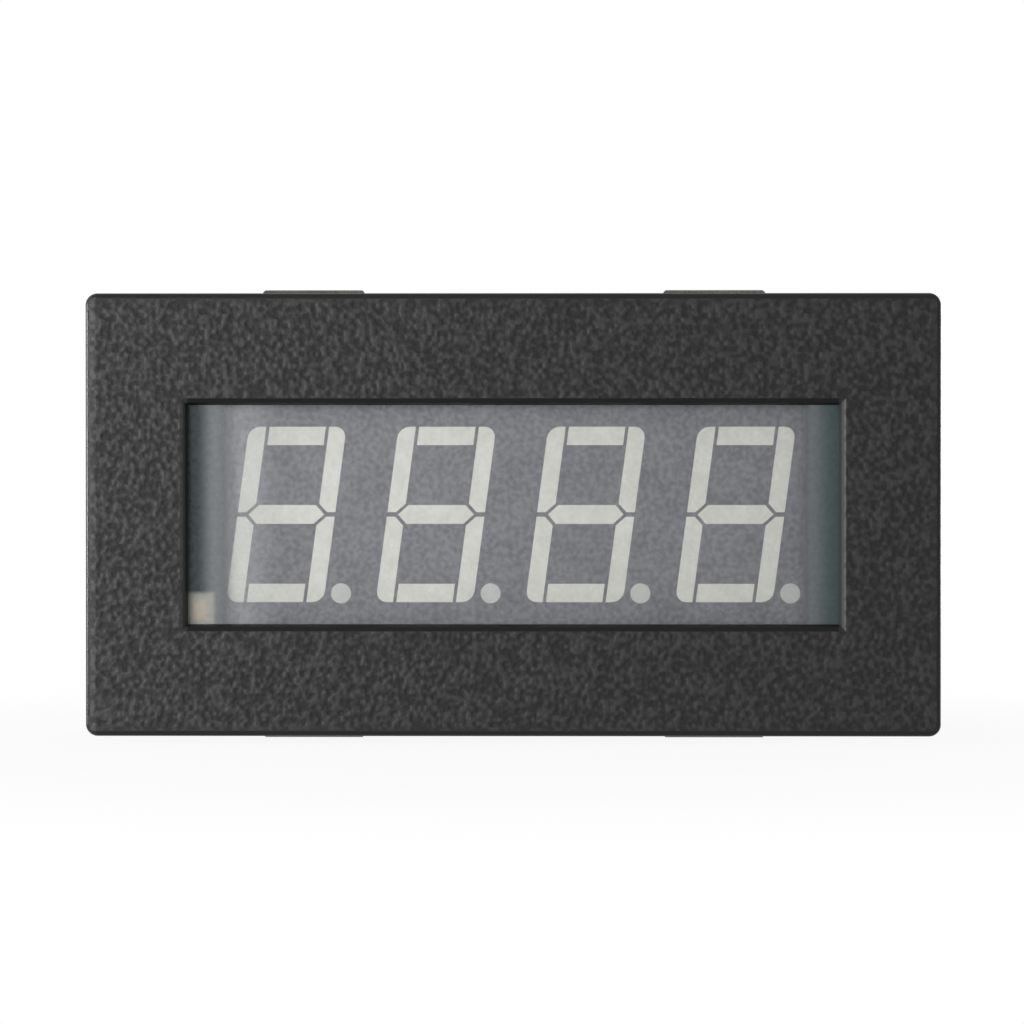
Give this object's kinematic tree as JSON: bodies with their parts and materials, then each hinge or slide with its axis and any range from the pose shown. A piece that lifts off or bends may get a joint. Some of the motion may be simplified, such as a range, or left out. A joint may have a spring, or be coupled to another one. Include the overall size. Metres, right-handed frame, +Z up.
{
  "type": "digital panel meter",
  "caption": "Snap-in panel meter: black grained bezel, slanted segment digits behind a matt window, open-backed sleeve with spring clips, circuit board and screw terminals.",
  "frame": {"origin": "centre of the bezel's rear face, on the front of the panel that the meter snaps into", "axes": "+X to the right seen from the front, +Y from the front to the back, +Z up"},
  "size_m": [0.072, 0.028, 0.0384],
  "materials": {
    "case_black": "moulded ABS with a spark-eroded grain",
    "pane": "matt neutral acrylic",
    "display_grey": "grey-faced reflector block",
    "segment_epoxy": "milky cast epoxy, unlit",
    "lamp_epoxy": "milky cast epoxy, unlit",
    "led_board_white": "white laminate",
    "board_green": "glass laminate with green solder mask",
    "tin": "tinned leads and solder",
    "screw_steel": "zinc-plated steel",
    "spring_steel": "blackened spring steel",
    "package_black": "moulded chip package",
    "can_metal": "drawn can",
    "terminal_grey": "moulded polyamide",
    "ceramic_tan": "fired ceramic",
    "resistor_glaze": "dark glaze on ceramic",
    "trimmer_blue": "moulded trimmer case",
    "rotor_white": "moulded rotor"
  },
  "bodies": {
    "meter": {"front_case": "case_black", "window_pane": "pane", "display_housing": "display_grey", "digit_1_segments": "segment_epoxy", "digit_2_segments": "segment_epoxy", "digit_3_segments": "segment_epoxy", "digit_4_segments": "segment_epoxy", "decimal_points": "segment_epoxy", "led_board": "led_board_white", "display_pins": "tin", "indicator_lamp": "lamp_epoxy", "indicator_leads": "tin", "circuit_board": "board_green", "board_screws": "screw_steel", "terminal_block": "terminal_grey", "terminal_contacts": "tin", "controller_chip": "package_black", "controller_leads": "tin", "crystal_base": "package_black", "crystal_can": "can_metal", "capacitor_base": "package_black", "capacitor_can": "can_metal", "regulator_body": "package_black", "regulator_leads": "tin", "digit_transistors": "package_black", "transistor_leads": "tin", "input_diode": "package_black", "diode_tabs": "tin", "segment_resistors": "resistor_glaze", "resistor_ends": "tin", "bypass_capacitors": "ceramic_tan", "bypass_ends": "tin", "trimmer_body": "trimmer_blue", "trimmer_tabs": "tin"},
    "trimmer_rotor": {"trimmer_rotor": "rotor_white"},
    "terminal_screw_1": {"terminal_screw_1": "screw_steel"},
    "clamp_cage_1": {"clamp_cage_1": "tin"},
    "terminal_screw_2": {"terminal_screw_2": "screw_steel"},
    "clamp_cage_2": {"clamp_cage_2": "tin"},
    "terminal_screw_3": {"terminal_screw_3": "screw_steel"},
    "clamp_cage_3": {"clamp_cage_3": "tin"},
    "terminal_screw_4": {"terminal_screw_4": "screw_steel"},
    "clamp_cage_4": {"clamp_cage_4": "tin"},
    "panel_clip_top_left": {"panel_clip_top_left": "spring_steel"},
    "panel_clip_top_right": {"panel_clip_top_right": "spring_steel"},
    "panel_clip_bottom_left": {"panel_clip_bottom_left": "spring_steel"},
    "panel_clip_bottom_right": {"panel_clip_bottom_right": "spring_steel"}
  },
  "joints": [
    {"name": "terminal_screw_1_turn", "type": "hinge", "parent": "meter", "child": "terminal_screw_1", "pos_m": [-0.0075, 0.0195, -0.002], "axis": [0, -1, 0], "range_deg": [0, 1280]},
    {"name": "clamp_cage_1_lift", "type": "slide", "parent": "meter", "child": "clamp_cage_1", "axis": [0, 1, 0], "range_m": [0, 0.0016]},
    {"name": "terminal_screw_2_turn", "type": "hinge", "parent": "meter", "child": "terminal_screw_2", "pos_m": [-0.0025, 0.0195, -0.002], "axis": [0, -1, 0], "range_deg": [0, 1280]},
    {"name": "clamp_cage_2_lift", "type": "slide", "parent": "meter", "child": "clamp_cage_2", "axis": [0, 1, 0], "range_m": [0, 0.0016]},
    {"name": "terminal_screw_3_turn", "type": "hinge", "parent": "meter", "child": "terminal_screw_3", "pos_m": [0.0025, 0.0195, -0.002], "axis": [0, -1, 0], "range_deg": [0, 1280]},
    {"name": "clamp_cage_3_lift", "type": "slide", "parent": "meter", "child": "clamp_cage_3", "axis": [0, 1, 0], "range_m": [0, 0.0016]},
    {"name": "terminal_screw_4_turn", "type": "hinge", "parent": "meter", "child": "terminal_screw_4", "pos_m": [0.0075, 0.0195, -0.002], "axis": [0, -1, 0], "range_deg": [0, 1280]},
    {"name": "clamp_cage_4_lift", "type": "slide", "parent": "meter", "child": "clamp_cage_4", "axis": [0, 1, 0], "range_m": [0, 0.0016]},
    {"name": "trimmer_turn", "type": "hinge", "parent": "meter", "child": "trimmer_rotor", "pos_m": [0.0168, 0.014, -0.0102], "axis": [0, 1, 0], "range_deg": [-130, 130]},
    {"name": "panel_clip_top_left_press", "type": "hinge", "parent": "meter", "child": "panel_clip_top_left", "pos_m": [-0.0172, 0.021, 0.01535], "axis": [1, 0, 0], "range_deg": [0, 10], "stiffness_Nm_per_rad": 0.6, "springref_deg": -5.73},
    {"name": "panel_clip_top_right_press", "type": "hinge", "parent": "meter", "child": "panel_clip_top_right", "pos_m": [0.0172, 0.021, 0.01535], "axis": [1, 0, 0], "range_deg": [0, 10], "stiffness_Nm_per_rad": 0.6, "springref_deg": -5.73},
    {"name": "panel_clip_bottom_left_press", "type": "hinge", "parent": "meter", "child": "panel_clip_bottom_left", "pos_m": [-0.0172, 0.021, -0.01535], "axis": [-1, 0, 0], "range_deg": [0, 10], "stiffness_Nm_per_rad": 0.6, "springref_deg": -5.73},
    {"name": "panel_clip_bottom_right_press", "type": "hinge", "parent": "meter", "child": "panel_clip_bottom_right", "pos_m": [0.0172, 0.021, -0.01535], "axis": [-1, 0, 0], "range_deg": [0, 10], "stiffness_Nm_per_rad": 0.6, "springref_deg": -5.73}
  ],
  "couplings": [
    {"joint": "terminal_screw_1_turn", "follows": "clamp_cage_1_lift", "rad_per_m": 13963},
    {"joint": "terminal_screw_2_turn", "follows": "clamp_cage_2_lift", "rad_per_m": 13963},
    {"joint": "terminal_screw_3_turn", "follows": "clamp_cage_3_lift", "rad_per_m": 13963},
    {"joint": "terminal_screw_4_turn", "follows": "clamp_cage_4_lift", "rad_per_m": 13963}
  ]
}
